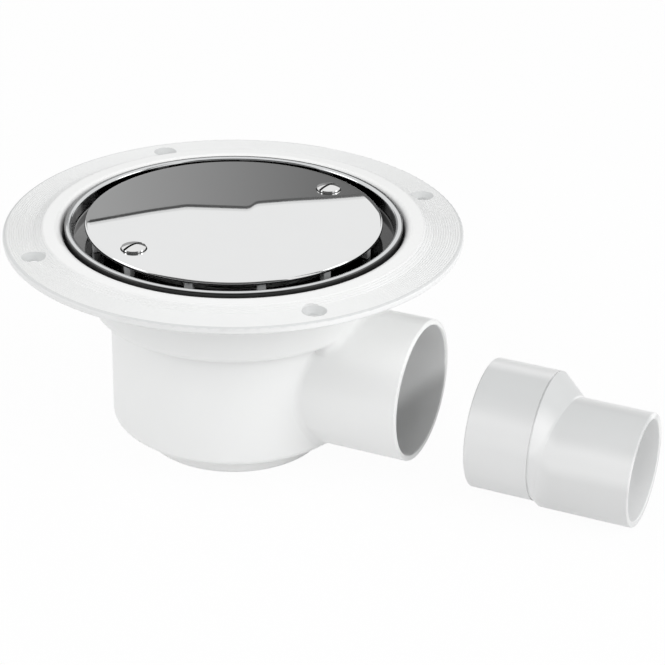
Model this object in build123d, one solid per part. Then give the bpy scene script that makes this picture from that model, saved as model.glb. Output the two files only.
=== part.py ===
from build123d import *
import os
from math import sqrt

# Floor gully with a lift-out water trap, a screwed cover and a loose outlet adaptor.
# Z = 0 is the floor under the base, the gully's axis is Z and its outlet points along +X.
# Sizes are in millimetres.

# Body moulding, its heights from the floor up and its widths from the bowl outwards
WALL = 2.4
FOOT_OD = 72.0
FOOT_EDGE_RADIUS = 1.6
BOWL_BOTTOM = 10.0
BOWL_OD = 95.6
BOWL_EDGE_RADIUS = 2.2
LEDGE_ROOF = 1.3
LEDGE_THICKNESS = 7.0
COLLAR_STEP = 6.9
COLLAR_DEPTH = 17.4
COLLAR_EDGE_RADIUS = 2.4
SEAT_WIDTH = 10.3
RECESS_DEPTH = 7.0
SHOULDER_RADIUS = 3.0
BAND_WIDTH = 4.4
BAND_RISE = 1.7
RAMP_WIDTH = 3.6
FLANGE_WIDTH = 22.5
FLANGE_THICKNESS = 3.0
FLANGE_EDGE_RADIUS = 1.1
INNER_CORNER_RADIUS = 0.8

# Fine grooves in the flange's top
GROOVE_PITCH = 0.92
GROOVE_WIDTH = 0.6
GROOVE_DEPTH = 0.2

# Flange fixing holes
FIXING_EDGE = 8.5
FIXING_COUNT = 4
FIXING_FIRST_ANGLE = 47.0
FIXING_HOLE_D = 5.0
FIXING_SINK_D = 9.2

# Outlet spigot
OUTLET_OD = 55.0
OUTLET_WALL = 2.3
OUTLET_AXIS_HEIGHT = 35.2
OUTLET_REACH = 79.0
OUTLET_RIM_RADIUS = 0.7
OUTLET_BLEND_RADIUS = 3.0

# Inlet ring
RING_CLEARANCE = 0.7
LIP_RISE = 2.2
LIP_WIDTH = 2.8
LIP_OUTER_RADIUS = 1.7
LIP_INNER_RADIUS = 1.0
RING_FLOOR = 2.1
GASKET_THICKNESS = 1.5
SLEEVE_CLEARANCE = 0.5
SLEEVE_WALL = 2.2
SLEEVE_LENGTH = 7.0
BAR_COUNT = 13
BAR_FIRST_ANGLE = 1.8
BAR_WIDTH = 3.2
BAR_DEPTH = 2.4
BAR_INSET = 1.4

# Cover plate and its two screws
COVER_GAP = 4.9
COVER_THICKNESS = 1.6
COVER_RISE = 3.0
COVER_BEVEL_WIDTH = 2.2
COVER_BEVEL_DROP = 0.9
COVER_BEVEL_RADIUS = 4.0
COVER_EDGE_RADIUS = 0.4
SCREW_INSET = 10.4
SCREW_ANGLE = 63.0
SCREW_SHANK_D = 4.0
SCREW_HEAD_D = 9.6
SCREW_DOME = 1.9
SCREW_LENGTH = 10.0
SCREW_SLOT_WIDTH = 1.0
SCREW_SLOT_DEPTH = 1.3
SCREW_SLOT_TURN = 5.0
SCREW_FIT = 0.2
LUG_OD = 9.5

# Water trap
SEAL_THICKNESS = 2.0
TRAP_CLEARANCE = 0.5
TRAP_WALL = 2.0
TRAP_CROWN_HEIGHT = 5.5
DIP_TUBE_OD = 48.0
DIP_LIP_HEIGHT = 8.0
CUP_RIM_HEIGHT = 58.0
CUP_WALL = 1.8
CUP_BEAD = 1.2

# Outlet adaptor, an eccentric reducer that stands on the floor in line with the outlet
SOCKET_CLEARANCE = 0.2
ADAPTOR_SMALL_OD = 43.4
ADAPTOR_WALL = 2.4
ADAPTOR_LARGE_LENGTH = 25.4
ADAPTOR_TAPER = 6.4
ADAPTOR_TAPER_SKEW = 3.6
ADAPTOR_TAIL_ROOT = 0.6
ADAPTOR_LENGTH = 63.6
ADAPTOR_SIDE_SHIFT = 3.9
ADAPTOR_STAND_OFF = 24.6
ADAPTOR_SIDE_OFFSET = 4.9
ADAPTOR_RIM_RADIUS = 0.5
NECK_GROOVE_WIDTH = 0.7
NECK_GROOVE_DEPTH = 0.4

# How near two sizes are when they are the same
SAME = 0.01

# Levels and radii that follow from the sizes above
OUTLET_R = OUTLET_OD / 2
OUTLET_BORE_R = OUTLET_R - OUTLET_WALL
LEDGE_HEIGHT = OUTLET_AXIS_HEIGHT + OUTLET_R + LEDGE_ROOF
COLLAR_BOTTOM = LEDGE_HEIGHT - LEDGE_THICKNESS
SEAT_LEVEL = LEDGE_HEIGHT + COLLAR_DEPTH
BODY_HEIGHT = SEAT_LEVEL + RECESS_DEPTH
COLLAR_R = BOWL_OD / 2 + COLLAR_STEP
RECESS_R = COLLAR_R + SEAT_WIDTH
BAND_R = RECESS_R + SHOULDER_RADIUS + BAND_WIDTH
BAND_LEVEL = BODY_HEIGHT + BAND_RISE
FLANGE_R = RECESS_R + FLANGE_WIDTH
FIXING_R = FLANGE_R - FIXING_EDGE
BOWL_BORE_R = BOWL_OD / 2 - WALL
COLLAR_BORE_R = COLLAR_R - WALL
RING_UNDERSIDE = SEAT_LEVEL + GASKET_THICKNESS
RING_R = RECESS_R - RING_CLEARANCE
LIP_TOP = BODY_HEIGHT + LIP_RISE
TROUGH_LEVEL = RING_UNDERSIDE + RING_FLOOR
TROUGH_R = RING_R - LIP_WIDTH
SLEEVE_R = COLLAR_BORE_R - SLEEVE_CLEARANCE
COVER_R = TROUGH_R - COVER_GAP
SCREW_CIRCLE_R = COVER_R - SCREW_INSET
COVER_TOP = BODY_HEIGHT + COVER_RISE
COVER_UNDERSIDE = COVER_TOP - COVER_THICKNESS
BAR_OUTER_R = COVER_R - BAR_INSET
DIP_FLANGE_LEVEL = LEDGE_HEIGHT + SEAL_THICKNESS
ADAPTOR_LARGE_R = OUTLET_BORE_R - SOCKET_CLEARANCE
ADAPTOR_SMALL_R = ADAPTOR_SMALL_OD / 2


def turned(section):
    """Turn a closed section about the Z axis. Each corner is a radius, a height and a rounding."""
    outline = make_face(Polyline(*[(r, z) for r, z, _ in section], close=True))
    for r, z, rounding in section:
        if rounding:
            corner = outline.vertices().sort_by_distance(Vector(r, z))[0]
            outline = fillet(corner, rounding)
    return revolve(Plane.XZ * outline, Axis.Z)


def along_x(radius, start, end, height):
    """A cylinder along +X whose axis lies at a height above the floor."""
    base = Plane(origin=(start, 0, height), z_dir=(1, 0, 0))
    return base * Cylinder(radius, end - start, align=(Align.CENTER, Align.CENTER, Align.MIN))


def countersink(hole_d, sink_d, depth):
    """A countersunk hole to cut downwards from the origin, with a 90 degree sink."""
    drop = (sink_d - hole_d) / 2
    return turned([
        (0, -depth, 0),
        (hole_d / 2, -depth, 0),
        (hole_d / 2, -drop, 0),
        (sink_d / 2, 0, 0),
        (sink_d / 2, depth, 0),
        (0, depth, 0),
    ])


def around(count, first_angle, radius, height):
    """Places on a circle about the Z axis."""
    return [
        Rot(0, 0, first_angle + k * 360 / count) * Pos(radius, 0, height) for k in range(count)
    ]


def flange_level(r):
    """The height of the flange's top at a radius: level at the edge, then a ramp up to the band."""
    return BODY_HEIGHT + BAND_RISE * max(0, 1 - (r - BAND_R) / RAMP_WIDTH)


def flange_grooves():
    """The section of the fine grooves in the flange's top, from its edge inwards to the band."""
    outer_r = FLANGE_R - FLANGE_EDGE_RADIUS
    section = []
    for k in range(int((outer_r - BAND_R) / GROOVE_PITCH)):
        middle_r = outer_r - (k + 0.5) * GROOVE_PITCH
        for r, depth in (
            (middle_r + GROOVE_WIDTH / 2, 0),
            (middle_r, GROOVE_DEPTH),
            (middle_r - GROOVE_WIDTH / 2, 0),
        ):
            section.append((r, flange_level(r) - depth, 0))
    return section


def body_outside():
    """The outside of the moulding: foot, bowl, collar, ring seat, flange and raised band."""
    seat_step_r = RECESS_R + WALL
    seat_bottom = SEAT_LEVEL - WALL
    flange_bottom = BODY_HEIGHT - FLANGE_THICKNESS
    return turned([
        (0, 0, 0),
        (FOOT_OD / 2, 0, FOOT_EDGE_RADIUS),
        (FOOT_OD / 2, BOWL_BOTTOM, 0),
        (BOWL_OD / 2, BOWL_BOTTOM, BOWL_EDGE_RADIUS),
        (BOWL_OD / 2, COLLAR_BOTTOM, 0),
        (COLLAR_R, COLLAR_BOTTOM, COLLAR_EDGE_RADIUS),
        (COLLAR_R, seat_bottom, INNER_CORNER_RADIUS),
        (seat_step_r, seat_bottom, INNER_CORNER_RADIUS),
        (seat_step_r, flange_bottom, INNER_CORNER_RADIUS),
        (FLANGE_R, flange_bottom, FLANGE_EDGE_RADIUS),
        (FLANGE_R, BODY_HEIGHT, FLANGE_EDGE_RADIUS),
        *flange_grooves(),
        (BAND_R, BAND_LEVEL, 0),
        (0, BAND_LEVEL, 0),
    ])


def body_inside():
    """The space inside the moulding, from the foot's floor up through the ring's recess."""
    above = BODY_HEIGHT + RECESS_DEPTH
    return turned([
        (0, WALL, 0),
        (FOOT_OD / 2 - WALL, WALL, FOOT_EDGE_RADIUS),
        (FOOT_OD / 2 - WALL, BOWL_BOTTOM + WALL, 0),
        (BOWL_BORE_R, BOWL_BOTTOM + WALL, BOWL_EDGE_RADIUS),
        (BOWL_BORE_R, LEDGE_HEIGHT, 0),
        (COLLAR_BORE_R, LEDGE_HEIGHT, 0),
        (COLLAR_BORE_R, SEAT_LEVEL, 0),
        (RECESS_R, SEAT_LEVEL, 0),
        (RECESS_R, above, 0),
        (0, above, 0),
    ])


def spigot_sides(body):
    """The round outside of the outlet spigot on the body."""
    round_faces = body.faces().filter_by(GeomType.CYLINDER)
    return round_faces.filter_by(lambda f: abs(f.radius - OUTLET_R) < SAME and f.center().X > BOWL_OD / 2)


def gully_body():
    """The white moulding, one piece from flange to foot with its outlet spigot."""
    root_x = FOOT_OD / 2
    spigot = along_x(OUTLET_R, root_x - 2 * WALL, OUTLET_REACH, OUTLET_AXIS_HEIGHT)
    body = body_outside() + spigot
    junction = spigot_sides(body).edges().filter_by(lambda e: e.center().X < COLLAR_R)
    body = fillet(junction, OUTLET_BLEND_RADIUS)
    body -= body_inside()
    body -= along_x(OUTLET_BORE_R, root_x - WALL / 2, OUTLET_REACH + WALL, OUTLET_AXIS_HEIGHT)

    sink = countersink(FIXING_HOLE_D, FIXING_SINK_D, 2 * FLANGE_THICKNESS)
    for place in around(FIXING_COUNT, FIXING_FIRST_ANGLE, FIXING_R, BODY_HEIGHT):
        body -= place * sink

    circles = body.edges().filter_by(GeomType.CIRCLE)
    shoulder = circles.filter_by(
        lambda e: abs(e.radius - RECESS_R) < SAME and abs(e.arc_center.Z - BAND_LEVEL) < SAME
    )
    body = fillet(shoulder, SHOULDER_RADIUS)
    rim = body.edges().filter_by(GeomType.CIRCLE).filter_by(
        lambda e: abs(e.arc_center.X - OUTLET_REACH) < SAME
    )
    return fillet(rim, OUTLET_RIM_RADIUS)


def cut_screw_holes(piece):
    """Cut the two countersunk holes of the cover screws through a piece under their heads."""
    hole = countersink(SCREW_SHANK_D + 2 * SCREW_FIT, SCREW_HEAD_D + 2 * SCREW_FIT, SCREW_LENGTH)
    for place in around(2, SCREW_ANGLE, SCREW_CIRCLE_R, COVER_TOP):
        piece -= place * hole
    return piece


def ring_gasket():
    """The flat seal between the ring and its seat."""
    gap = RING_CLEARANCE / 2
    return turned([
        (COLLAR_BORE_R + gap, SEAT_LEVEL, 0),
        (RECESS_R - gap, SEAT_LEVEL, 0),
        (RECESS_R - gap, RING_UNDERSIDE, 0),
        (COLLAR_BORE_R + gap, RING_UNDERSIDE, 0),
    ])


def inlet_ring():
    """The plated ring: raised lip, trough, bars that carry the cover, screw lugs and a sleeve."""
    ring = turned([
        (SLEEVE_R - SLEEVE_WALL, RING_UNDERSIDE - SLEEVE_LENGTH, 0),
        (SLEEVE_R, RING_UNDERSIDE - SLEEVE_LENGTH, 0),
        (SLEEVE_R, RING_UNDERSIDE, 0),
        (RING_R, RING_UNDERSIDE, 0),
        (RING_R, LIP_TOP, LIP_OUTER_RADIUS),
        (TROUGH_R, LIP_TOP, LIP_INNER_RADIUS),
        (TROUGH_R, TROUGH_LEVEL, INNER_CORNER_RADIUS),
        (SLEEVE_R - SLEEVE_WALL, TROUGH_LEVEL, 0),
    ])
    bar_height = COVER_UNDERSIDE - RING_UNDERSIDE
    stand = (Align.MAX, Align.CENTER, Align.MIN)
    bar = Box(BAR_DEPTH, BAR_WIDTH, bar_height, align=stand)
    for place in around(BAR_COUNT, BAR_FIRST_ANGLE, BAR_OUTER_R, RING_UNDERSIDE):
        ring += place * bar

    on_floor = (Align.CENTER, Align.CENTER, Align.MIN)
    boss = Cylinder(LUG_OD / 2, bar_height, align=on_floor)
    tongue_length = SLEEVE_R - SCREW_CIRCLE_R
    tongue = Box(tongue_length, LUG_OD, RING_FLOOR, align=(Align.MIN, Align.CENTER, Align.MIN))
    for place in around(2, SCREW_ANGLE, SCREW_CIRCLE_R, RING_UNDERSIDE):
        ring += place * (boss + tongue)
    return cut_screw_holes(ring)


def cover_plate():
    """The polished disc over the ring, with a soft bevel and two countersunk screw holes."""
    plate = turned([
        (0, COVER_UNDERSIDE, 0),
        (COVER_R, COVER_UNDERSIDE, 0),
        (COVER_R, COVER_TOP - COVER_BEVEL_DROP, COVER_EDGE_RADIUS),
        (COVER_R - COVER_BEVEL_WIDTH, COVER_TOP, COVER_BEVEL_RADIUS),
        (0, COVER_TOP, 0),
    ])
    return cut_screw_holes(plate)


def cover_screw():
    """A slotted screw with a raised countersunk head, its head's edge at the origin's level."""
    head_r = SCREW_HEAD_D / 2
    shank_r = SCREW_SHANK_D / 2
    side = Polyline(
        (0, SCREW_DOME),
        (0, -SCREW_LENGTH),
        (shank_r, -SCREW_LENGTH),
        (shank_r, shank_r - head_r),
        (head_r, 0),
    )
    dome_r = (head_r**2 + SCREW_DOME**2) / (2 * SCREW_DOME)
    dome = RadiusArc((head_r, 0), (0, SCREW_DOME), -dome_r)
    screw = revolve(Plane.XZ * make_face([*side.edges(), *dome.edges()]), Axis.Z)
    slot = Box(SCREW_HEAD_D + 1, SCREW_SLOT_WIDTH, 2 * SCREW_SLOT_DEPTH)
    return screw - Pos(0, 0, SCREW_DOME) * Rot(0, 0, SCREW_SLOT_TURN) * slot


def cover_screws():
    """The two cover screws in their countersinks."""
    places = around(2, SCREW_ANGLE, SCREW_CIRCLE_R, COVER_TOP)
    return Compound(children=[place * cover_screw() for place in places])


def trap_seal():
    """The flat ring that seals the dip tube's flange on the body's ledge."""
    return turned([
        (BOWL_BORE_R + TRAP_CLEARANCE, LEDGE_HEIGHT, 0),
        (COLLAR_BORE_R - TRAP_CLEARANCE, LEDGE_HEIGHT, 0),
        (COLLAR_BORE_R - TRAP_CLEARANCE, DIP_FLANGE_LEVEL, 0),
        (BOWL_BORE_R + TRAP_CLEARANCE, DIP_FLANGE_LEVEL, 0),
    ])


def dip_tube():
    """The lift-out tube that dips into the cup, hung by its flange from the body's ledge."""
    tube_r = DIP_TUBE_OD / 2
    crown_r = BOWL_BORE_R - TRAP_CLEARANCE
    crown_under = DIP_FLANGE_LEVEL + TRAP_CROWN_HEIGHT
    flange_r = COLLAR_BORE_R - TRAP_CLEARANCE
    return turned([
        (tube_r - TRAP_WALL, DIP_LIP_HEIGHT, 0),
        (tube_r, DIP_LIP_HEIGHT, INNER_CORNER_RADIUS),
        (tube_r, crown_under, TRAP_WALL),
        (crown_r - TRAP_WALL, crown_under, 0),
        (crown_r - TRAP_WALL, DIP_FLANGE_LEVEL, 0),
        (flange_r, DIP_FLANGE_LEVEL, 0),
        (flange_r, DIP_FLANGE_LEVEL + TRAP_WALL, INNER_CORNER_RADIUS),
        (crown_r, DIP_FLANGE_LEVEL + TRAP_WALL, 0),
        (crown_r, crown_under + TRAP_WALL, TRAP_WALL),
        (tube_r - TRAP_WALL, crown_under + TRAP_WALL, 2 * TRAP_WALL),
    ])


def trap_cup():
    """The lift-out cup that stands in the foot and holds the water seal round the dip tube."""
    cup_r = FOOT_OD / 2 - WALL - TRAP_CLEARANCE
    bead_bottom = CUP_RIM_HEIGHT - 2 * CUP_BEAD
    return turned([
        (0, WALL, 0),
        (cup_r, WALL, FOOT_EDGE_RADIUS + TRAP_CLEARANCE),
        (cup_r, bead_bottom, 0),
        (cup_r + CUP_BEAD, bead_bottom + CUP_BEAD, 0),
        (cup_r + CUP_BEAD, CUP_RIM_HEIGHT, CUP_BEAD / 2),
        (cup_r - CUP_WALL, CUP_RIM_HEIGHT, CUP_BEAD / 2),
        (cup_r - CUP_WALL, WALL + CUP_WALL, FOOT_EDGE_RADIUS),
        (0, WALL + CUP_WALL, 0),
    ])


def reducer_solid(inset):
    """The adaptor's form, level on the floor, with its skin set in by a wall's thickness."""
    large_r = ADAPTOR_LARGE_R - inset
    small_r = ADAPTOR_SMALL_R - inset
    drop = ADAPTOR_LARGE_R - ADAPTOR_SMALL_R
    skew = ADAPTOR_TAPER_SKEW / ADAPTOR_SMALL_R
    large_end = Plane(origin=(0, 0, ADAPTOR_LARGE_R), z_dir=(1, 0, 0))
    small_end = Plane(origin=(ADAPTOR_LENGTH, -ADAPTOR_SIDE_SHIFT, ADAPTOR_SMALL_R), z_dir=(1, 0, 0))
    lean = Vector(0, ADAPTOR_SIDE_SHIFT, drop).normalized()
    slant = Plane(
        origin=(ADAPTOR_LARGE_LENGTH + ADAPTOR_TAPER, -ADAPTOR_SIDE_SHIFT, ADAPTOR_SMALL_R),
        x_dir=lean + Vector(skew, 0, 0),
        z_dir=Vector(1, 0, 0) - lean * skew,
    )
    tail_start = ADAPTOR_LARGE_LENGTH + ADAPTOR_TAPER + ADAPTOR_TAPER_SKEW + ADAPTOR_TAIL_ROOT
    sections = [
        large_end * Circle(large_r),
        large_end.offset(ADAPTOR_LARGE_LENGTH) * Circle(large_r),
        slant * Ellipse(small_r * sqrt(1 + skew**2), small_r),
        small_end.offset(tail_start - ADAPTOR_LENGTH) * Circle(small_r),
        small_end * Circle(small_r),
    ]
    return loft(sections, ruled=True)


def outlet_adaptor():
    """The loose eccentric reducer whose large end fits the outlet's bore."""
    adaptor = reducer_solid(0) - reducer_solid(ADAPTOR_WALL)
    ends = adaptor.faces().filter_by(Axis.X).edges()
    adaptor = fillet(ends, ADAPTOR_RIM_RADIUS)
    groove_start = ADAPTOR_LARGE_LENGTH - NECK_GROOVE_WIDTH
    groove_floor_r = ADAPTOR_LARGE_R - NECK_GROOVE_DEPTH
    groove = along_x(ADAPTOR_LARGE_R + WALL, groove_start, ADAPTOR_LARGE_LENGTH, ADAPTOR_LARGE_R)
    groove -= along_x(groove_floor_r, groove_start, ADAPTOR_LARGE_LENGTH, ADAPTOR_LARGE_R)
    adaptor -= groove
    return Pos(OUTLET_REACH + ADAPTOR_STAND_OFF, ADAPTOR_SIDE_OFFSET, 0) * adaptor


PIECES = {
    "gully_body": gully_body,
    "ring_gasket": ring_gasket,
    "inlet_ring": inlet_ring,
    "cover_plate": cover_plate,
    "cover_screws": cover_screws,
    "trap_seal": trap_seal,
    "dip_tube": dip_tube,
    "trap_cup": trap_cup,
    "outlet_adaptor": outlet_adaptor,
}

os.makedirs("parts", exist_ok=True)
for name, make in PIECES.items():
    export_step(make(), f"parts/{name}.step")
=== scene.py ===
from math import asin, atan2, cos, pi, radians, sin

import bmesh
import bpy
from mathutils import Matrix, Vector


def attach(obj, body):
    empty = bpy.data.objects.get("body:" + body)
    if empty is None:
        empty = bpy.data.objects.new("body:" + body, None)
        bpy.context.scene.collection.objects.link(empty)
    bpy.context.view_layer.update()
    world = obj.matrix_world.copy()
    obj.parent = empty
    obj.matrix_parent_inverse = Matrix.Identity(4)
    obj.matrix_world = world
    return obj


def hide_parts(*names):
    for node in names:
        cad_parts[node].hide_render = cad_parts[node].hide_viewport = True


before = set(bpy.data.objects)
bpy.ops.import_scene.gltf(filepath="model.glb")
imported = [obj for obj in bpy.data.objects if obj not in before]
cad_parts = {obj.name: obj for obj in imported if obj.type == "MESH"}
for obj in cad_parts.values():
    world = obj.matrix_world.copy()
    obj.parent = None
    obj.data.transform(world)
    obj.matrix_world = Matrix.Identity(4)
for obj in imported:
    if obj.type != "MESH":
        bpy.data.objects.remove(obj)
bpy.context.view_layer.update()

# Camera, fitted to the photograph's outlines (metres, in the part's frame)
CAMERA_PLACE = Vector((0.34327, -0.69681, 0.43601))
CAMERA_AZIMUTH = radians(23.411)
CAMERA_ELEVATION = radians(26.85)
CAMERA_ROLL = radians(0.996)
CAMERA_LENS, CAMERA_SENSOR = 120.707, 36

# Directions as the camera sees them
TO_RIGHT = Vector((cos(CAMERA_AZIMUTH), sin(CAMERA_AZIMUTH), 0))
AWAY = Vector((-sin(CAMERA_AZIMUTH), cos(CAMERA_AZIMUTH), 0))
UP = Vector((0, 0, 1))

MM = 0.001


def extent(node):
    """A node's reach along X, its underside and its top (millimetres)."""
    places = [vertex.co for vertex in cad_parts[node].data.vertices]
    heights = [place.z for place in places]
    return max(place.x for place in places) / MM, min(heights) / MM, max(heights) / MM


# Sizes of the bright ring, cover and screws (millimetres and degrees, round sizes as radii)
RING_RADIUS, SLEEVE_END, LIP_TOP = extent("inlet_ring")
COVER_RADIUS, COVER_UNDERSIDE, COVER_TOP = extent("cover_plate")
RING_UNDERSIDE = SLEEVE_END + 7.0
TROUGH_LEVEL, TROUGH_RADIUS = RING_UNDERSIDE + 2.1, RING_RADIUS - 2.8
SLEEVE_RADIUS, SLEEVE_BORE = RING_RADIUS - 12.5, RING_RADIUS - 14.7
LIP_OUTER_ROUNDING, LIP_INNER_ROUNDING, TROUGH_ROUNDING = 0.7, 1.0, 0.8
BAR_COUNT, BAR_FIRST_ANGLE, BAR_WIDTH = 13, 1.8, 3.2
BAR_INNER, BAR_OUTER = COVER_RADIUS - 3.8, COVER_RADIUS - 1.4
COVER_TOP_ROUNDING, COVER_UNDER_ROUNDING = 1.1, 0.2
COUNTERSINK, COUNTERSINK_FOOT = 5.0, 3.4
SCREW_CIRCLE, SCREW_ANGLE, SLOT_TURN = COVER_RADIUS - 10.4, 63, 5
SCREW_ANGLES = (SCREW_ANGLE, SCREW_ANGLE + 180)
SCREW_HEAD, SCREW_SHANK, SCREW_LENGTH, SLOT_HALF = 4.55, 2.0, 10, 0.55
LUG_RADIUS, LUG_BORE = 4.75, 2.2

# Places on the white pieces where their finish changes (millimetres and degrees)
FLANGE_RADIUS, FLANGE_TOP = 87.5, 88.4
FIXING_CIRCLE, FIXING_ANGLE, FIXING_SINK = 79.0, 47, 4.6
BAND_INNER, BAND_OUTER = 66.8, 71.6
SEAT_LEVEL, BOWL_BOTTOM = 81.4, 10.0
SPIGOT_END, SPIGOT_AXIS, SPIGOT_BORE = 79.0, 35.2, 25.2
TAPER_START, TAIL_AXIS, TAIL_RADIUS, TAIL_BORE = 129.0, (0, 1.0, 21.7), 21.7, 19.3

# The two directions that count in a distance from an axis along X or Z
ROUND_X, ROUND_Z = (0, 1, 1), (1, 1, 0)

# How near two places are when they are merged, and when they count as one (metres)
MERGED, SAME_PLACE = 1e-7, 1e-6


class Value:
    """An output of a node. Reckoning with it adds Math nodes."""

    def __init__(self, shading, socket):
        self.shading = shading
        self.socket = socket

    def __getitem__(self, name):
        return Value(self.shading, self.socket.node.outputs[name])

    def __add__(self, other):
        return self.shading.math("ADD", self, other)

    def __radd__(self, other):
        return self.shading.math("ADD", other, self)

    def __sub__(self, other):
        return self.shading.math("SUBTRACT", self, other)

    def __rsub__(self, other):
        return self.shading.math("SUBTRACT", other, self)

    def __mul__(self, other):
        return self.shading.math("MULTIPLY", self, other)

    def __rmul__(self, other):
        return self.shading.math("MULTIPLY", other, self)

    def __or__(self, other):
        return self.shading.math("MAXIMUM", self, other)


class Shading:
    """A node tree that is written as Python expressions."""

    def __init__(self, owner):
        owner.use_nodes = True
        self.owner = owner
        self.tree = owner.node_tree
        self.tree.nodes.clear()

    def add(self, kind, settings=None, sockets=None):
        """Add a node, set it up, then fill or link its sockets. Gives back its first live output."""
        node = self.tree.nodes.new("ShaderNode" + kind)
        for name, setting in (settings or {}).items():
            setattr(node, name, setting)
        for name, value in (sockets or {}).items():
            if isinstance(value, Value):
                self.tree.links.new(value.socket, node.inputs[name])
            else:
                node.inputs[name].default_value = value
        live = [output for output in node.outputs if output.enabled]
        return Value(self, live[0]) if live else None

    def math(self, operation, *terms):
        return self.add("Math", {"operation": operation}, dict(enumerate(terms)))

    def vectors(self, operation, *terms):
        return self.add("VectorMath", {"operation": operation}, dict(enumerate(terms)))

    def colours(self, factor, low, high):
        """A colour between two others, which are colours or outputs."""
        ends = [side if isinstance(side, Value) else (*side, 1) for side in (low, high)]
        return self.add("Mix", {"data_type": "RGBA"}, {0: factor, 6: ends[0], 7: ends[1]})

    def share(self, value, start, end):
        """How far a value has come from a start to an end, from 0 to 1."""
        limits = {"Value": value, "From Min": start, "From Max": end}
        return self.add("MapRange", {"interpolation_type": "SMOOTHSTEP"}, limits)

    def between(self, value, first, last, fade):
        """1 where a value lies between two others, fading to 0 outside them."""
        return self.share(value, first - fade, first) * (1 - self.share(value, last, last + fade))

    def noise(self, coords, scale, detail=2.0):
        return self.add("TexNoise", {}, {"Vector": coords, "Scale": scale, "Detail": detail})

    def coords(self):
        """Object coordinates, in metres."""
        return self.add("TexCoord")["Object"]

    def measured(self, coords):
        """Coordinates in millimetres, to set against the part's sizes."""
        return self.vectors("MULTIPLY", coords, (1 / MM,) * 3)

    def split(self, place):
        """A place's X, Y and Z."""
        parts = self.add("SeparateXYZ", {}, {0: place})
        return parts["X"], parts["Y"], parts["Z"]

    def rightwards(self, place):
        """How far a place lies to the camera's right of the gully's axis."""
        return self.vectors("DOT_PRODUCT", place, TO_RIGHT)

    def turned_back(self, place, angle):
        """A place as it would lie with the gully turned back about its axis."""
        return self.add("Mapping", {}, {"Vector": place, "Rotation": (0, 0, radians(-angle))})

    def from_axis(self, place, point, directions):
        """The distance from an axis through a point, in the two directions that count."""
        offset = self.vectors("SUBTRACT", place, point)
        return self.vectors("LENGTH", self.vectors("MULTIPLY", offset, directions))

    def from_fixing(self, place):
        """The distance from the axis of the nearest fixing hole in the flange."""
        x, y, _ = self.split(self.vectors("ABSOLUTE", self.turned_back(place, FIXING_ANGLE)))
        outwards = self.math("MAXIMUM", x, y) - FIXING_CIRCLE
        across = self.math("MINIMUM", x, y)
        return self.math("SQRT", outwards * outwards + across * across)

    def in_spigot(self, place):
        """1 inside the spigot's bore, and 1 in the lower part of its far side, where the bore's painted shade
        goes.
        """
        along, aside, height = self.split(place)
        away = self.from_axis(place, (0, 0, SPIGOT_AXIS), ROUND_X)
        inside = self.share(along, 50, 52) * (1 - self.share(away, SPIGOT_BORE + 0.1, SPIGOT_BORE + 0.3))
        low = 1 - self.share(height - 0.9 * (along - SPIGOT_END), 26.5, 37.5)
        return inside, low * self.share(aside, -16, -6)

    def seen(self):
        """1 where the camera or a mirror image looks, 0 where soft light falls."""
        path = self.add("LightPath")
        return path["Is Camera Ray"] | path["Is Glossy Ray"] | path["Is Transmission Ray"]

    def surface(self, sockets):
        """Finish a material and give it back."""
        shader = self.add("BsdfPrincipled", {}, sockets)
        self.add("OutputMaterial", {}, {"Surface": shader})
        return self.owner

    def plastic(self, coords, colour, roughness):
        """Finish a moulded plastic with a fine grain and give it back."""
        grain = self.noise(coords, 1500)
        bump = self.add("Bump", {}, {"Strength": 0.05, "Distance": 0.0001, "Height": grain})
        return self.surface({"Base Color": colour, "Roughness": roughness, "Normal": bump, "IOR": 1.49})


def trap_plastic(name):
    """The trap's white plastic: faint clouding in its colour and gloss."""
    skin = Shading(bpy.data.materials.new(name))
    coords = skin.coords()
    cloud = skin.noise(coords, 130, 4)
    white = skin.colours(cloud, (0.80, 0.80, 0.79), (0.83, 0.83, 0.82))
    return skin.plastic(coords, white, 0.42 + 0.08 * (cloud - 0.5))


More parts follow.
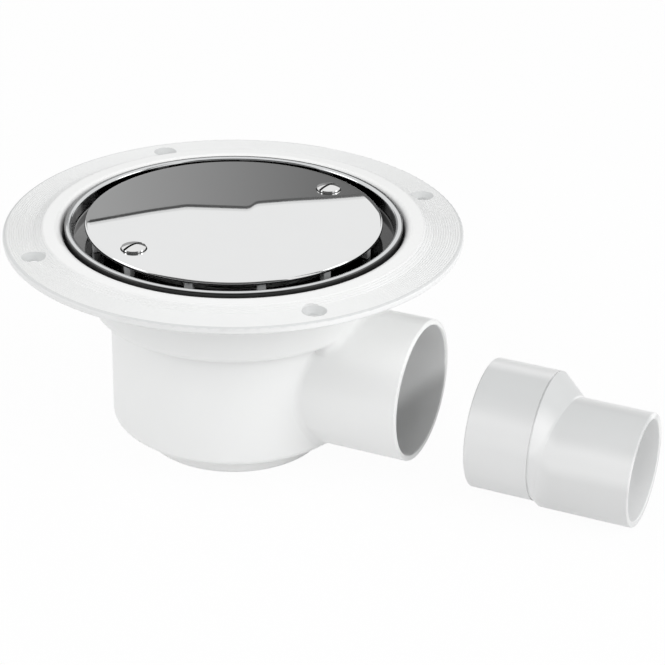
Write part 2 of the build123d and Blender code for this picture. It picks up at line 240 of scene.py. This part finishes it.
def body_plastic(name):
    """The body's white plastic, with painted light and shade: a painted sheen on the band round the ring,
    painted shade on the flange's rim and a painted shade line at its top edge, painted light on the foot and
    the spigot's top, painted light and shade in the spigot's bore, and painted shade in the fixing
    countersinks.
    """
    skin = Shading(bpy.data.materials.new(name))
    coords = skin.coords()
    place = skin.measured(coords)
    along, _, height = skin.split(place)
    radius = skin.from_axis(place, (0, 0, 0), ROUND_Z)
    cloud = skin.noise(coords, 35, 1)
    white = skin.colours(cloud, (0.863, 0.869, 0.866), (0.872, 0.878, 0.875))
    on_top = skin.share(height, SEAT_LEVEL + 1.6, SEAT_LEVEL + 2.2)
    # Painted sheen: the smooth band round the ring is painted whiter to stand for its glossy reflection.
    sheen_band = skin.between(radius, BAND_INNER, BAND_OUTER, 1.6) * on_top
    sheened = skin.colours(sheen_band, white, (0.985, 0.99, 0.985))
    # Painted shade on the flange's outer wall, lighter towards the right, where the light falls.
    towards_right = skin.share(skin.rightwards(place), 0, 40)
    rim_shade = skin.colours(towards_right, (0.81, 0.815, 0.815), (0.88, 0.885, 0.885))
    rim = skin.share(radius, FLANGE_RADIUS - 0.9, FLANGE_RADIUS - 0.6)
    rim_shaded = skin.colours(rim, sheened, rim_shade)
    # A painted shade line along the top edge of the flange's rim.
    near_rim = skin.share(radius, FLANGE_RADIUS - 1.4, FLANGE_RADIUS - 1.1)
    rim_edge_shade = near_rim * skin.between(height, FLANGE_TOP - 0.4, FLANGE_TOP + 0.1, 0.2)
    edge_shaded = skin.colours(rim_edge_shade, rim_shaded, (0.72, 0.73, 0.73))
    # Painted light: the foot and the spigot's top, where it meets the collar, are painted paler.
    foot = (1 - skin.share(height, BOWL_BOTTOM - 0.5, BOWL_BOTTOM)) * (1 - skin.share(radius, 40, 41))
    spigot_top_light = skin.share(along, 45, 58) * skin.between(height, 58, 66, 10)
    lightened = skin.colours(foot | spigot_top_light, edge_shaded, (0.97, 0.975, 0.97))
    # Painted light and shade in the spigot's bore: paler above, painted shade in the lower part of its far
    # side.
    inside, low = skin.in_spigot(place)
    painted_bore_tone = skin.colours(low, (0.98, 0.985, 0.985), (0.58, 0.585, 0.585))
    before_sink_shade = skin.colours(inside, lightened, painted_bore_tone)
    # Painted shade in the fixing holes' countersinks, which are also rougher.
    sink_shade = (1 - skin.share(skin.from_fixing(place), FIXING_SINK - 0.2, FIXING_SINK + 0.1)) * on_top
    colour = skin.colours(sink_shade, before_sink_shade, (0.66, 0.67, 0.67))
    return skin.plastic(coords, colour, 0.31 + 0.03 * (cloud - 0.5) + 0.2 * sink_shade)


def adaptor_plastic(name):
    """The adaptor's plastic, painted with light and shade: a painted sheen band, painted shade below it and
    high up, and painted light on its crown, its taper and in its bore.
    """
    skin = Shading(bpy.data.materials.new(name))
    coords = skin.coords()
    place = skin.measured(coords)
    along, aside, height = skin.split(place)
    from_tail = skin.from_axis(place, TAIL_AXIS, ROUND_X)
    cloud = skin.noise(coords, 35, 1)
    on_tail = skin.share(along, TAPER_START, TAPER_START + 10)
    level = height + 4.6 * on_tail + 2 * cloud
    # The tones below stand for light: painted shade low down, darker on the tail, a painted sheen band along
    # the middle, painted shade high up, and painted highlights on the crown and the lower taper.
    middle_sheen = skin.between(level, 34, 38, 6)
    outside_tail = skin.share(from_tail, TAIL_RADIUS + 0.1, TAIL_RADIUS + 0.7)
    taper = skin.share(along, TAPER_START - 0.6, TAPER_START - 0.3) * outside_tail
    taper_light = taper * (1 - skin.share(level, 40, 48))
    crown_highlight = skin.share(aside, 0.5, 7) * skin.share(level, 44, 47) * (1 - taper)
    # Painted light in the bore.
    painted_bore_tone = 1 - skin.share(from_tail, TAIL_BORE + 0.1, TAIL_BORE + 0.4)
    under_shade = skin.colours(on_tail, (0.79, 0.795, 0.795), (0.72, 0.725, 0.725))
    lower = skin.colours(middle_sheen, under_shade, (0.83, 0.835, 0.835))
    high_shade = skin.colours(skin.share(level, 38, 48), lower, (0.66, 0.67, 0.67))
    crown_lit = skin.colours(crown_highlight, high_shade, (0.90, 0.905, 0.905))
    taper_lit = skin.colours(taper_light, crown_lit, (0.87, 0.875, 0.875))
    colour = skin.colours(painted_bore_tone, taper_lit, (0.93, 0.935, 0.935))
    return skin.plastic(coords, colour, 0.31 + 0.03 * (cloud - 0.5))


def cover_plating(name):
    """Mirror polish with a faint clouding, rougher in the two countersinks, with painted shade there."""
    skin = Shading(bpy.data.materials.new(name))
    coords = skin.coords()
    cloud = skin.noise(coords, 70, 3)
    beside_screw = skin.vectors("ABSOLUTE", skin.turned_back(skin.measured(coords), SCREW_ANGLE))
    away = skin.from_axis(beside_screw, (SCREW_CIRCLE, 0, 0), ROUND_Z)
    # Painted shade in the two countersinks round the screw heads, which are also rougher.
    sink_shade = 1 - skin.share(away, COUNTERSINK - 0.05, COUNTERSINK + 0.01)
    polish = skin.colours(cloud, (0.775, 0.78, 0.78), (0.79, 0.795, 0.795))
    return skin.surface({
        "Base Color": skin.colours(sink_shade, polish, (0.10, 0.10, 0.10)),
        "Metallic": 1.0,
        "Roughness": 0.008 + 0.008 * cloud + 0.3 * sink_shade,
    })


def screw_plating(name):
    """Bright plating, rougher in the slots of the two screws, with painted shade there."""
    skin = Shading(bpy.data.materials.new(name))
    coords = skin.coords()
    cloud = skin.noise(coords, 300, 3)
    aside = Matrix.Rotation(radians(SCREW_ANGLE + SLOT_TURN + 90), 3, "Z") @ Vector((1, 0, 0))
    offset = skin.math("ABSOLUTE", skin.vectors("DOT_PRODUCT", skin.measured(coords), aside))
    slot_line = SCREW_CIRCLE * sin(radians(SLOT_TURN))
    # Painted shade in the slots, which are also rougher.
    slot_shade = skin.between(offset, slot_line - SLOT_HALF - 0.01, slot_line + SLOT_HALF + 0.01, 0.02)
    bright = skin.colours(cloud, (0.76, 0.76, 0.76), (0.80, 0.80, 0.79))
    return skin.surface({
        "Base Color": skin.colours(slot_shade, bright, (0.12, 0.12, 0.12)),
        "Metallic": 1.0,
        "Roughness": 0.05 + 0.04 * cloud + 0.3 * slot_shade,
    })


def ring_plating(name):
    """Bright plating on the ring's lip and dull on its bars, with painted shade in its trough, lighter to the
    left as a painted reflection, and painted shade down its outside.
    """
    skin = Shading(bpy.data.materials.new(name))
    coords = skin.coords()
    place = skin.measured(coords)
    _, _, height = skin.split(place)
    radius = skin.from_axis(place, (0, 0, 0), ROUND_Z)
    cloud = skin.noise(coords, 70, 3)
    mottle = skin.noise(coords, 320, 4)
    bright = skin.colours(cloud, (0.64, 0.65, 0.655), (0.68, 0.69, 0.695))
    # Painted shade in the trough, lighter to the left as a painted reflection of the grey card behind, varied
    # by a random mottle.
    towards_right = skin.share(skin.rightwards(place), -45, 45)
    plain_shade = skin.colours(towards_right, (0.19, 0.19, 0.19), (0.045, 0.045, 0.045))
    mottled_shade = skin.colours(towards_right, (0.24, 0.24, 0.24), (0.065, 0.065, 0.065))
    dark = skin.colours(mottle, plain_shade, mottled_shade)
    above_floor = skin.share(height, TROUGH_LEVEL + 0.1, TROUGH_LEVEL + 0.4)
    bars = skin.between(radius, BAR_INNER - 0.2, BAR_OUTER + 0.3, 0.2) * above_floor
    below_lip = 1 - skin.share(height, LIP_TOP - 1.6, LIP_TOP - 0.8)
    within_lip = 1 - skin.share(radius, TROUGH_RADIUS + 0.3, TROUGH_RADIUS + 0.5)
    trough = below_lip * within_lip * (1 - bars)
    # Painted shade down the ring's outside, in the gap beside the flange.
    outside_shade = skin.share(radius, RING_RADIUS - 0.6, RING_RADIUS - 0.2)
    return skin.surface({
        "Base Color": skin.colours(outside_shade, skin.colours(trough, bright, dark), (0.07, 0.07, 0.07)),
        "Metallic": 1 - 0.65 * bars,
        "Roughness": 0.03 + 0.03 * cloud + 0.05 * trough + 0.35 * bars + 0.2 * outside_shade,
    })


def soft_rubber(name):
    """Dull black rubber."""
    skin = Shading(bpy.data.materials.new(name))
    cloud = skin.noise(skin.coords(), 200, 4)
    return skin.surface({
        "Base Color": skin.colours(cloud, (0.03, 0.03, 0.032), (0.055, 0.055, 0.055)),
        "Roughness": 0.62 + 0.2 * cloud,
    })


FINISHES = {
    "gully_body": body_plastic("body_white"),
    "outlet_adaptor": adaptor_plastic("adaptor_white"),
    "dip_tube": trap_plastic("trap_white"),
    "inlet_ring": ring_plating("ring_chrome"),
    "cover_plate": cover_plating("cover_polished"),
    "cover_screws": screw_plating("screw_bright"),
    "ring_gasket": soft_rubber("seal_rubber"),
}
FINISHES["trap_cup"] = FINISHES["dip_tube"]
FINISHES["trap_seal"] = FINISHES["ring_gasket"]

for node_name, finish in FINISHES.items():
    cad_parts[node_name].data.materials[0] = finish


# The ring, the cover and the screws, made finer than the frame's meshes so that they mirror smoothly
def rounded(bm, geom, offset, affect, segments):
    """Round corners or edges."""
    bmesh.ops.bevel(
        bm, geom=geom, offset=offset, offset_type="OFFSET",
        affect=affect, segments=segments, profile=0.5, material=-1,
    )


def corners_in(geom):
    """The vertices among what an operator made."""
    return [item for item in geom if isinstance(item, bmesh.types.BMVert)]


def smoothed(bm):
    """Shade the faces made so far as round ones."""
    for face in bm.faces:
        face.smooth = True


def turned(bm, corners, closed=True, place=Vector(), steps=320):
    """Turn a wire about an upright axis. Each corner is a radius, a height and a rounding."""
    old = set(bm.verts)
    verts = [bm.verts.new(place + Vector((r, 0, z)) * MM) for r, z, _ in corners]
    for pair in zip(verts, verts[1:] + verts[:1] if closed else verts[1:]):
        bm.edges.new(pair)
    for vert, (_, _, rounding) in zip(verts, corners):
        if rounding:
            rounded(bm, [vert], rounding * MM, "VERTICES", 10)
    fresh = [vert for vert in bm.verts if vert not in old]
    links = {edge for vert in fresh for edge in vert.link_edges}
    bmesh.ops.spin(
        bm, geom=[*fresh, *links], cent=place, axis=UP, angle=radians(360), steps=steps, use_merge=True,
    )


def block(bm, near, far, width, low, high, angle):
    """A block with soft edges that lies along a radius at an angle."""
    turn = Matrix.Rotation(radians(angle), 4, "Z")
    middle = Matrix.Translation(Vector(((near + far) / 2, 0, (low + high) / 2)) * MM)
    size = Matrix.Diagonal(Vector((far - near, width, high - low)) * MM).to_4x4()
    corners = bmesh.ops.create_cube(bm, matrix=turn @ middle @ size)["verts"]
    edges = {edge for corner in corners for edge in corner.link_edges}
    rounded(bm, list(edges), 0.25 * MM, "EDGES", 3)


def screw_places():
    """The middles of the two screws, in metres."""
    return [
        Matrix.Rotation(radians(angle), 3, "Z") @ Vector((SCREW_CIRCLE * MM, 0, 0))
        for angle in SCREW_ANGLES
    ]


def made(name, bm, material):
    """An object in the scene, made from a bmesh."""
    mesh = bpy.data.meshes.new(name)
    bm.to_mesh(mesh)
    bm.free()
    mesh.materials.append(material)
    thing = bpy.data.objects.new(name, mesh)
    bpy.context.scene.collection.objects.link(thing)
    return thing


def bright_piece(name, bm, node):
    """A finished piece that stands for a node of the frame."""
    bmesh.ops.recalc_face_normals(bm, faces=bm.faces)
    piece = made(name, bm, FINISHES[node])
    piece.data.set_sharp_from_angle(angle=radians(28))
    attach(piece, "root")
    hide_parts(node)


def drain_ring():
    """The ring: sleeve, trough and raised lip, the bars under the cover and the two screw lugs."""
    bm = bmesh.new()
    turned(bm, [
        (SLEEVE_BORE, SLEEVE_END, 0), (SLEEVE_RADIUS, SLEEVE_END, 0), (SLEEVE_RADIUS, RING_UNDERSIDE, 0),
        (RING_RADIUS, RING_UNDERSIDE, 0), (RING_RADIUS, LIP_TOP, LIP_OUTER_ROUNDING),
        (TROUGH_RADIUS, LIP_TOP, LIP_INNER_ROUNDING), (TROUGH_RADIUS, TROUGH_LEVEL, TROUGH_ROUNDING),
        (SLEEVE_BORE, TROUGH_LEVEL, 0),
    ])
    for k in range(BAR_COUNT):
        angle = BAR_FIRST_ANGLE + k * 360 / BAR_COUNT
        block(bm, BAR_INNER, BAR_OUTER, BAR_WIDTH, RING_UNDERSIDE + 1, COVER_UNDERSIDE, angle)
    for place, angle in zip(screw_places(), SCREW_ANGLES):
        turned(bm, [
            (LUG_BORE, RING_UNDERSIDE, 0), (LUG_RADIUS, RING_UNDERSIDE, 0), (LUG_RADIUS, COVER_UNDERSIDE, 0),
            (COUNTERSINK_FOOT, COVER_UNDERSIDE, 0), (LUG_BORE, COVER_UNDERSIDE - 1.2, 0),
        ], place=place, steps=64)
        web_start, web_end = SCREW_CIRCLE + 3.6, SLEEVE_BORE + 0.9
        block(bm, web_start, web_end, 2 * LUG_RADIUS, RING_UNDERSIDE, TROUGH_LEVEL, angle)
    smoothed(bm)
    bright_piece("drain_ring", bm, "inlet_ring")


def cover():
    """The polished disc, flat between a rounded edge and the two countersinks."""
    bm = bmesh.new()
    flat = COVER_RADIUS - 2.1
    turned(bm, [
        (flat, COVER_TOP, 0), (COVER_RADIUS, COVER_TOP, COVER_TOP_ROUNDING),
        (COVER_RADIUS, COVER_UNDERSIDE, COVER_UNDER_ROUNDING), (flat, COVER_UNDERSIDE, 0),
    ], closed=False)
    narrowing = COUNTERSINK_FOOT / COUNTERSINK
    for place in screw_places():
        rim = bmesh.ops.create_circle(
            bm, radius=COUNTERSINK * MM, segments=72, matrix=Matrix.Translation(place + UP * COVER_TOP * MM),
        )["verts"]
        edges = {edge for vert in rim for edge in vert.link_edges}
        lower = corners_in(bmesh.ops.extrude_edge_only(bm, edges=list(edges))["geom"])
        bmesh.ops.scale(bm, verts=lower, vec=(narrowing, narrowing, 1), space=Matrix.Translation(-place))
        bmesh.ops.translate(bm, verts=lower, vec=UP * (COVER_UNDERSIDE - COVER_TOP) * MM)
    smoothed(bm)
    for level in (COVER_TOP * MM, COVER_UNDERSIDE * MM):
        open_edges = [
            edge for edge in bm.edges
            if edge.is_boundary and all(abs(vert.co.z - level) < SAME_PLACE for vert in edge.verts)
        ]
        bmesh.ops.triangle_fill(bm, use_beauty=True, edges=open_edges)
    bright_piece("cover", bm, "cover_plate")


def screws():
    """Two slotted screws, whose heads stand in the cover's countersinks with an upright edge and a dome."""
    bm = bmesh.new()
    edge_top, rise = COVER_TOP + 0.8, 1.0
    edge_foot, cone_foot, tip = COVER_TOP - 0.35, COVER_TOP - 2.9, COVER_TOP - SCREW_LENGTH
    slot_half, slot_floor = SLOT_HALF * MM, (COVER_TOP + 0.55) * MM
    dome = (SCREW_HEAD**2 + rise**2) / (2 * rise)
    top = bm.verts.new((0, 0, (edge_top + rise) * MM))
    centre = UP * (edge_top + rise - dome) * MM
    arc = bmesh.ops.spin(bm, geom=[top], cent=centre, axis=(0, 1, 0), angle=asin(SCREW_HEAD / dome), steps=16)
    below = [(SCREW_HEAD, edge_foot), (SCREW_SHANK, cone_foot), (SCREW_SHANK, tip), (0, tip)]
    chain = [arc["geom_last"][0], *[bm.verts.new((r * MM, 0, z * MM)) for r, z in below]]
    for pair in zip(chain, chain[1:]):
        bm.edges.new(pair)
    bmesh.ops.spin(
        bm, geom=[*bm.verts, *bm.edges], axis=UP, angle=radians(360), steps=96, use_merge=True,
    )
    bmesh.ops.remove_doubles(bm, verts=bm.verts, dist=MERGED)
    across = Vector((0, 1, 0))
    for place, facing in ((across * slot_half, across), (across * -slot_half, across), (UP * slot_floor, UP)):
        everything = [*bm.verts, *bm.edges, *bm.faces]
        bmesh.ops.bisect_plane(bm, geom=everything, dist=MERGED, plane_co=place, plane_no=facing)
    smoothed(bm)
    middles = {face: face.calc_center_median() for face in bm.faces}
    cut = [face for face, at in middles.items() if abs(at.y) < slot_half and at.z > slot_floor]
    bmesh.ops.delete(bm, geom=cut, context="FACES")
    rim = {vert for edge in bm.edges if edge.is_boundary for vert in edge.verts}
    within_wall = slot_floor + 0.1 * MM
    # A wall's corners are sorted round a point inside it
    for side in (slot_half, -slot_half):
        wall = [vert for vert in rim if abs(vert.co.y - side) < SAME_PLACE]
        bm.faces.new(sorted(wall, key=lambda vert: atan2(vert.co.z - within_wall, vert.co.x)))
    floor = [vert for vert in rim if abs(vert.co.z - slot_floor) < SAME_PLACE]
    bm.faces.new(sorted(floor, key=lambda vert: atan2(vert.co.y, vert.co.x)))
    bmesh.ops.rotate(bm, verts=bm.verts, matrix=Matrix.Rotation(radians(SCREW_ANGLE + SLOT_TURN), 3, "Z"))
    bmesh.ops.translate(bm, verts=bm.verts, vec=screw_places()[0])
    twin = corners_in(bmesh.ops.duplicate(bm, geom=[*bm.verts, *bm.edges, *bm.faces])["geom"])
    bmesh.ops.rotate(bm, verts=twin, matrix=Matrix.Rotation(radians(180), 3, "Z"))
    bright_piece("screws", bm, "cover_screws")


drain_ring()
cover()
screws()


# Studio (metres and degrees)
LAMP_AIM = Vector((0.03, 0, 0.05))
FLOOR_RADIUS, FLOOR_DROP = 5, 0.0002
DOME_RADIUS, DOME_LOW, DOME_HIGH = 1.9, -1, 62


def staged(name, bm, material):
    """A floor or card that isn't part of the object."""
    thing = made(name, bm, material)
    return thing


def mirror_only(card):
    """Show a card in mirror images alone."""
    card.visible_camera = False
    card.visible_diffuse = False
    card.visible_shadow = False


def glowing(name, low, high, start, end):
    """A card's tone, which runs from low to high along the camera's right."""
    card = Shading(bpy.data.materials.new(name))
    limits = {"Value": card.rightwards(card.coords()), "From Min": start, "From Max": end}
    tone = card.colours(card.add("MapRange", {}, limits), (low,) * 3, (high,) * 3)
    card.add("OutputMaterial", {}, {"Surface": card.add("Emission", {}, {"Color": tone})})
    return card.owner


def edged_card(name, points, depth, drop, material):
    """An upright card behind the object. Its top edge runs through points (to the right, up)."""
    bm = bmesh.new()
    corners = [bm.verts.new(TO_RIGHT * u + AWAY * depth + UP * height) for u, height in points]
    for pair in zip(corners, corners[1:]):
        bm.edges.new(pair)
    rounded(bm, corners[1:-1], 0.0035, "VERTICES", 6)
    lower = corners_in(bmesh.ops.extrude_edge_only(bm, edges=list(bm.edges))["geom"])
    bmesh.ops.translate(bm, verts=lower, vec=UP * -drop)
    mirror_only(staged(name, bm, material))


def part_dome(name, first, last, material):
    """A part of a dome round the object, between two angles (degrees) round from the camera."""
    bm = bmesh.new()
    turn = Matrix.Rotation(radians(first), 3, "Z")
    foot = turn @ (AWAY * -cos(radians(DOME_LOW)) + UP * sin(radians(DOME_LOW))) * DOME_RADIUS
    rib = [bm.verts.new(foot)]
    bmesh.ops.spin(bm, geom=rib, axis=turn @ TO_RIGHT, angle=radians(DOME_LOW - DOME_HIGH), steps=24)
    ribs = [*bm.verts, *bm.edges]
    bmesh.ops.spin(bm, geom=ribs, axis=UP, angle=radians(last - first), steps=48)
    mirror_only(staged(name, bm, material))


def white_floor():
    """A wide white floor, almost plain white where the camera or a mirror image sees it."""
    floor = Shading(bpy.data.materials.new("floor_white"))
    lit = floor.add("BsdfDiffuse", {}, {"Color": (0.9, 0.9, 0.9, 1)})
    white = floor.add("Emission", {}, {"Color": (1, 1, 1, 1)})
    shader = floor.add("MixShader", {}, {0: floor.seen() * 0.96, 1: lit, 2: white})
    floor.add("OutputMaterial", {}, {"Surface": shader})
    bm = bmesh.new()
    bmesh.ops.create_circle(bm, cap_ends=True, radius=FLOOR_RADIUS, segments=64)
    bmesh.ops.translate(bm, verts=bm.verts, vec=UP * -FLOOR_DROP)
    staged("floor", bm, floor.owner)


def white_world(light):
    """An even white dome, plain white where the camera or a mirror image sees it."""
    world = bpy.data.worlds.new("studio")
    bpy.context.scene.world = world
    sky = Shading(world)
    dome = sky.add("Background", {}, {"Color": (1, 1, 1, 1), "Strength": light})
    plain = sky.add("Background", {}, {"Color": (1, 1, 1, 1), "Strength": 1.0})
    shader = sky.add("MixShader", {}, {0: sky.seen(), 1: dome, 2: plain})
    sky.add("OutputWorld", {}, {"Surface": shader})


def softbox(name, place, size, radiance, in_mirrors=False):
    """A square soft light with a given radiance, turned to the object."""
    lamp = bpy.data.lights.new(name, "AREA")
    lamp.shape = "SQUARE"
    lamp.size = size
    lamp.energy = radiance * pi * size * size
    thing = bpy.data.objects.new(name, lamp)
    facing = (LAMP_AIM - place).to_track_quat("-Z", "Y").to_matrix().to_4x4()
    thing.matrix_world = Matrix.Translation(place) @ facing
    thing.visible_camera = False
    thing.visible_glossy = in_mirrors
    bpy.context.scene.collection.objects.link(thing)


def from_camera_side(turn, rise, distance):
    """A place for a lamp, turned round from the camera's side to the right and raised."""
    level = Matrix.Rotation(radians(turn), 3, "Z") @ -AWAY
    return (level * cos(radians(rise)) + UP * sin(radians(rise))) * distance


white_floor()
white_world(light=0.5)
softbox("overhead", UP * 1.65, size=1.6, radiance=0.34)
softbox("key", from_camera_side(62, 28, 2.0), size=1.0, radiance=3.7)
softbox("front_fill", from_camera_side(-25, 38, 2.0), size=1.0, radiance=2.85)
beside = UP * 0.8 - AWAY * 0.1
softbox("right_softbox", beside + TO_RIGHT * 1.5, size=0.6, radiance=2.6, in_mirrors=True)
softbox("left_softbox", beside - TO_RIGHT * 1.5, size=0.7, radiance=2.2, in_mirrors=True)

# Cards that the bright metal mirrors: a grey one behind, whose edge crosses the cover, and a dark front
card_depth, edge_depth, haze_height = 1.2, 1.198, 0.0025
tone_run = (-0.19, 0.07)
card_top = [
    (-0.7, 0.640), (-0.199, 0.6315), (-0.140, 0.619), (-0.105, 0.613), (-0.044, 0.614),
    (-0.038, 0.6085), (-0.005, 0.605), (0.0335, 0.602), (0.072, 0.598), (0.5, 0.596),
]
haze_top = [(u, height + haze_height) for u, height in card_top]
edged_card("back_card", card_top, card_depth, 0.66, glowing("card_grey", 0.41, 0.155, *tone_run))
edged_card("card_edge", card_top, edge_depth, 0.003, glowing("card_dark", 0.06, 0.14, *tone_run))
edged_card("card_haze", haze_top, edge_depth, haze_height, glowing("haze", 0.82, 0.88, *tone_run))
front_dark = glowing("front_dark", 0.12, 0.12, -1, 1)
part_dome("dark_front", -62, 42, front_dark)
part_dome("dark_right", 68, 84, front_dark)

camera = bpy.data.cameras.new("camera")
camera.lens = CAMERA_LENS
camera.sensor_width = CAMERA_SENSOR
back = UP * sin(CAMERA_ELEVATION) - AWAY * cos(CAMERA_ELEVATION)
level = Matrix((TO_RIGHT, back.cross(TO_RIGHT), back)).transposed().to_4x4()
viewer = bpy.data.objects.new("camera", camera)
viewer.matrix_world = Matrix.Translation(CAMERA_PLACE) @ level @ Matrix.Rotation(CAMERA_ROLL, 4, "Z")
bpy.context.scene.collection.objects.link(viewer)
bpy.context.scene.camera = viewer
bpy.context.scene.view_settings.view_transform = "Standard"
